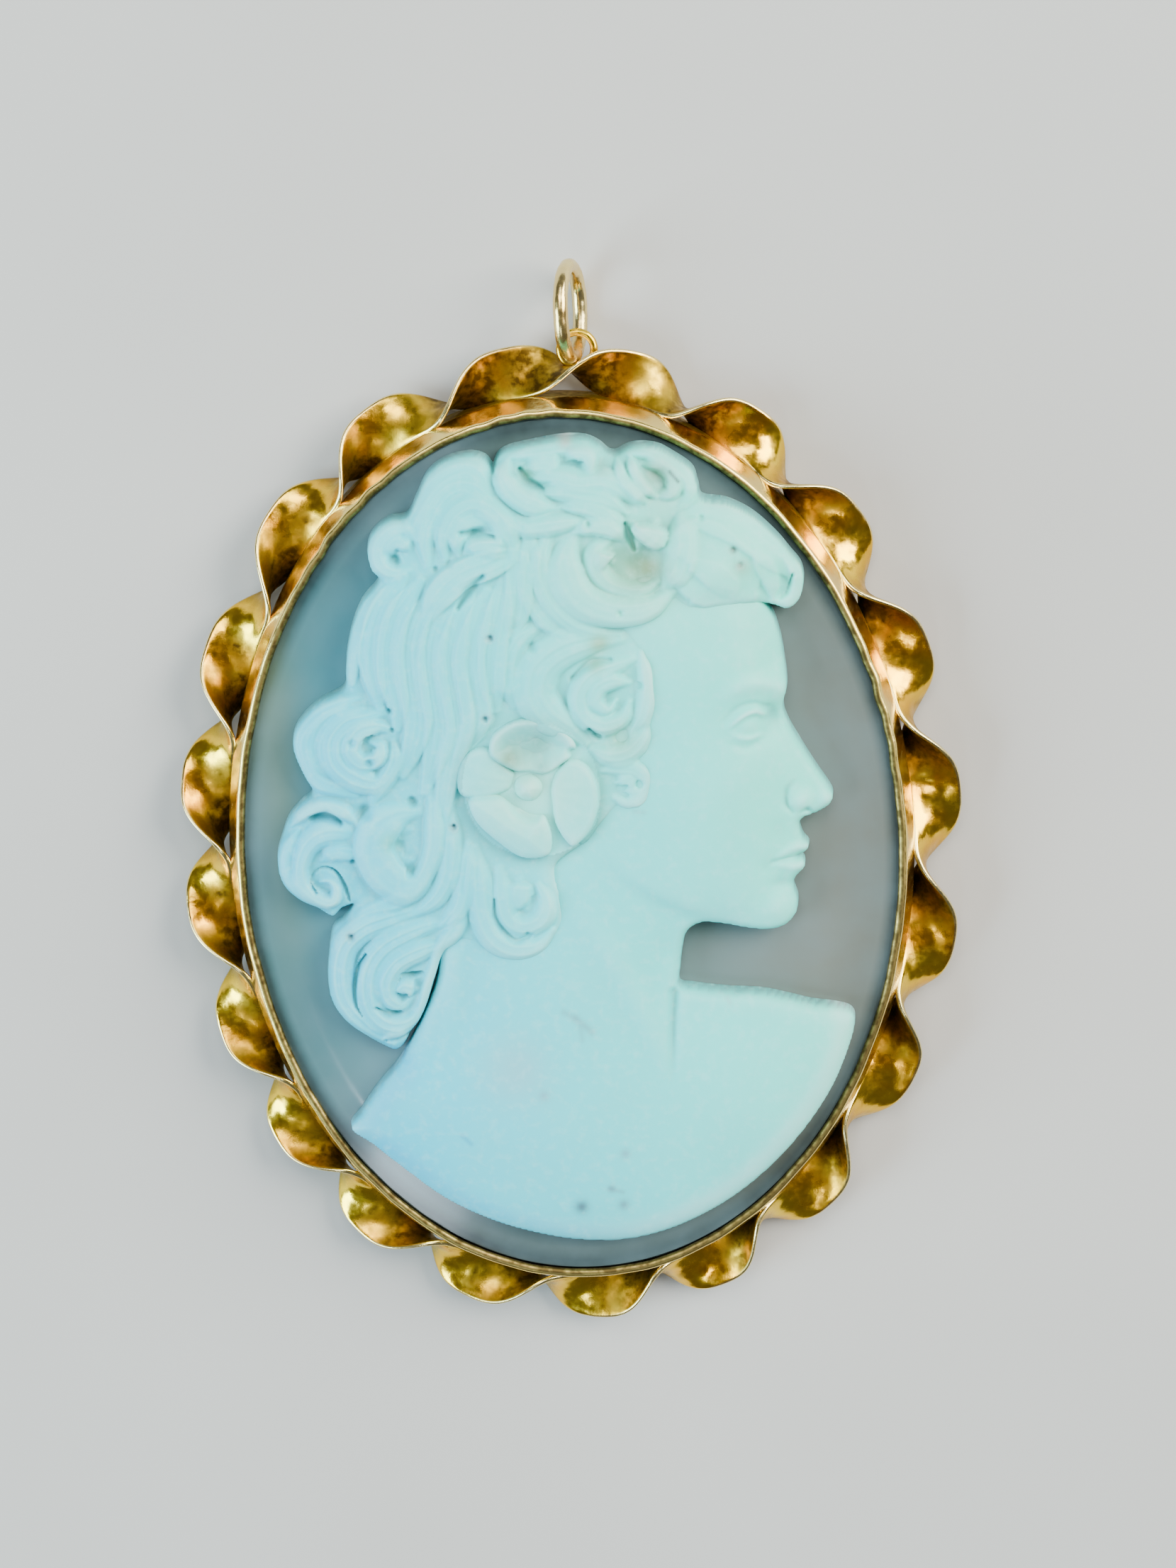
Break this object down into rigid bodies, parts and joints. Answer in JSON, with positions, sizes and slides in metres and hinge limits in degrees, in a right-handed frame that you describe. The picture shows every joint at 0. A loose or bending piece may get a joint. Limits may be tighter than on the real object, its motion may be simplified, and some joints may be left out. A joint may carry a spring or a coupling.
{
  "type": "cameo pendant",
  "caption": "Oval cameo pendant: pale bust carved on a grey-blue stone, in a gold bezel with a twisted ribbon border and a wire bail ring.",
  "frame": {"origin": "centre of the pendant's outline, bail included, on the plane that its back lies on", "axes": "+Z out of the carved face, +Y toward the bail, +X to the wearer's left as the face is seen from the front, to the right of the picture"},
  "size_m": [0.0352, 0.049, 0.0065],
  "materials": {
    "mount_gold": "polished yellow gold, worn and finely scratched",
    "bail_gold": "polished yellow gold wire",
    "ground_layer": "polished translucent grey-blue stone",
    "carved_layer": "satin carved pale aqua-white stone"
  },
  "bodies": {
    "root": {"mount": "mount_gold", "bail": "bail_gold", "stone_ground": "ground_layer", "stone_relief": "carved_layer"}
  },
  "joints": []
}
